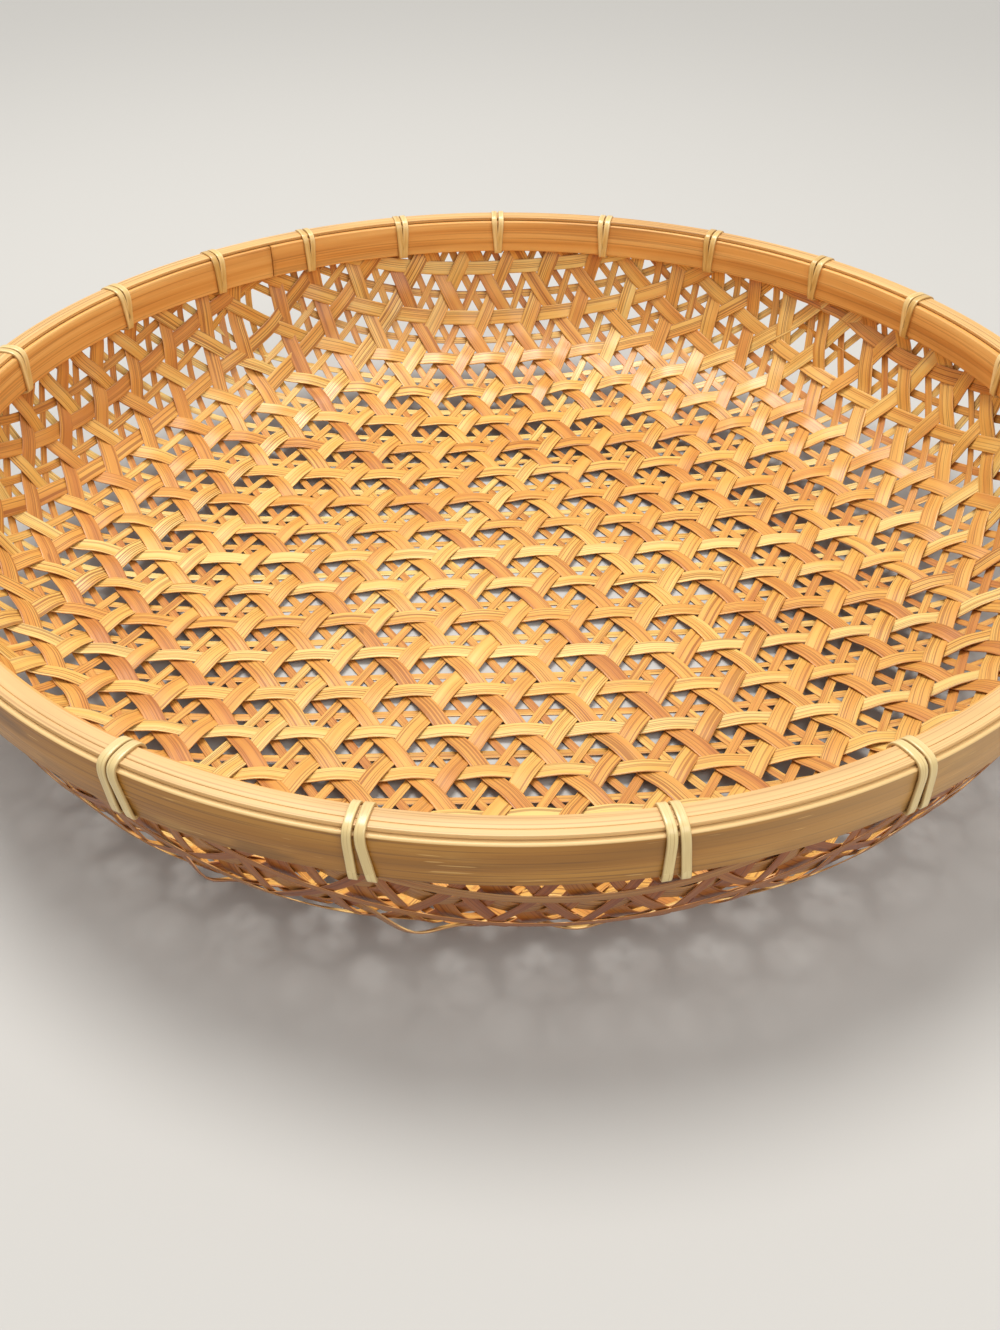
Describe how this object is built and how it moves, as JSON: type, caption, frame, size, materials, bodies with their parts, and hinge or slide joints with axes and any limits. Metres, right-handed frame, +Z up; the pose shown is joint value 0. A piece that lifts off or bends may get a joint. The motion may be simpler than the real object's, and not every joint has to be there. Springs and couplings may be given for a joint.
{
  "type": "bamboo tray",
  "caption": "Round woven bamboo tray: a shallow open-weave bowl of flat splints held between two hoops, with a capped rim lashed in rattan, for serving, drying or draining food.",
  "frame": {"origin": "middle of the flat underside, on the surface that the tray stands on", "axes": "+Z up through the tray's mouth; the picture looks along +Y, so its near side is at -Y and +X is to its right"},
  "size_m": [0.4519, 0.4512, 0.0859],
  "materials": {
    "splint": "varnished bamboo splint, satin to glossy, honey to orange",
    "hoop_skin": "smooth varnished bamboo skin, olive brown",
    "hoop_inner": "planed bamboo with fine grain, orange brown, satin",
    "cap": "pale bamboo strip with fine dark grain lines, satin",
    "strand": "pale yellow flat rattan strand, glossy"
  },
  "bodies": {
    "root": {"outer_hoop": "hoop_skin", "inner_hoop": "hoop_inner", "rim_cap": "cap", "cross_splint_01": "splint", "cross_splint_02": "splint", "cross_splint_03": "splint", "cross_splint_04": "splint", "cross_splint_05": "splint", "cross_splint_06": "splint", "cross_splint_07": "splint", "cross_splint_08": "splint", "cross_splint_09": "splint", "cross_splint_10": "splint", "cross_splint_11": "splint", "left_splint_01": "splint", "left_splint_02": "splint", "left_splint_03": "splint", "left_splint_04": "splint", "left_splint_05": "splint", "left_splint_06": "splint", "left_splint_07": "splint", "left_splint_08": "splint", "left_splint_09": "splint", "left_splint_10": "splint", "left_splint_11": "splint", "right_splint_01": "splint", "right_splint_02": "splint", "right_splint_03": "splint", "right_splint_04": "splint", "right_splint_05": "splint", "right_splint_06": "splint", "right_splint_07": "splint", "right_splint_08": "splint", "right_splint_09": "splint", "right_splint_10": "splint", "binding_01": "strand", "binding_02": "strand", "binding_03": "strand", "binding_04": "strand", "binding_05": "strand", "binding_06": "strand", "binding_07": "strand", "binding_08": "strand", "binding_09": "strand", "binding_10": "strand", "binding_11": "strand", "binding_12": "strand", "binding_13": "strand", "binding_14": "strand", "binding_15": "strand", "binding_16": "strand", "binding_17": "strand", "binding_18": "strand", "binding_19": "strand", "binding_20": "strand", "binding_21": "strand"}
  },
  "joints": []
}
